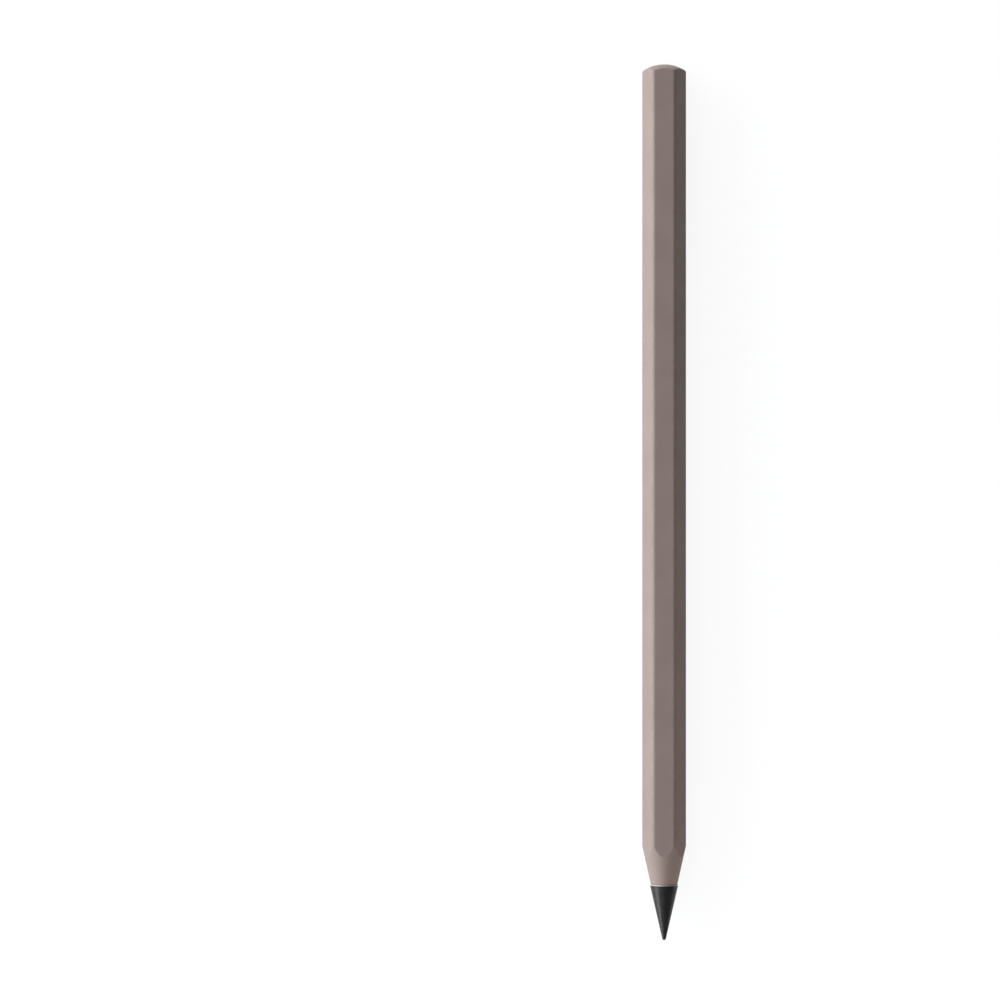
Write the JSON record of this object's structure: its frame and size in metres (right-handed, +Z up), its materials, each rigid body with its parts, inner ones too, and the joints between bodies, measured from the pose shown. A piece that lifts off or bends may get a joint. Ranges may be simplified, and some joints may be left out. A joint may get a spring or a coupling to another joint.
{
  "type": "inkless metal pencil",
  "caption": "Slim hexagonal metal pencil with a turned nose, a domed end and a replaceable graphite-alloy writing cone that screws in and needs no ink or lead.",
  "frame": {"origin": "on the flat that the pencil lies on, under the middle of its overall length and under the barrel's axis", "axes": "+X along the pencil from the writing point to the domed end, +Y across the barrel, +Z up from the flat it lies on"},
  "size_m": [0.16, 0.008, 0.0071],
  "materials": {
    "anodised_taupe": "satin",
    "turned_brass": "satin",
    "bright_steel": "satin",
    "graphite_alloy": "satin"
  },
  "bodies": {
    "barrel_body": {"barrel": "anodised_taupe", "end_plug": "anodised_taupe", "threaded_insert": "turned_brass"},
    "washer_body": {"seat_washer": "bright_steel"},
    "nib_body": {"nib_stud": "bright_steel", "nib_tip": "graphite_alloy"}
  },
  "joints": [
    {"name": "nib_travel", "type": "slide", "parent": "barrel_body", "child": "washer_body", "axis": [-1, 0, 0], "range_m": [0, 0.008]},
    {"name": "nib_turn", "type": "hinge", "parent": "washer_body", "child": "nib_body", "pos_m": [-0.07, 0, 0.00358], "axis": [-1, 0, 0], "range_deg": [0, 5770]}
  ],
  "couplings": [
    {"joint": "nib_turn", "follows": "nib_travel", "rad_per_m": 12566}
  ]
}
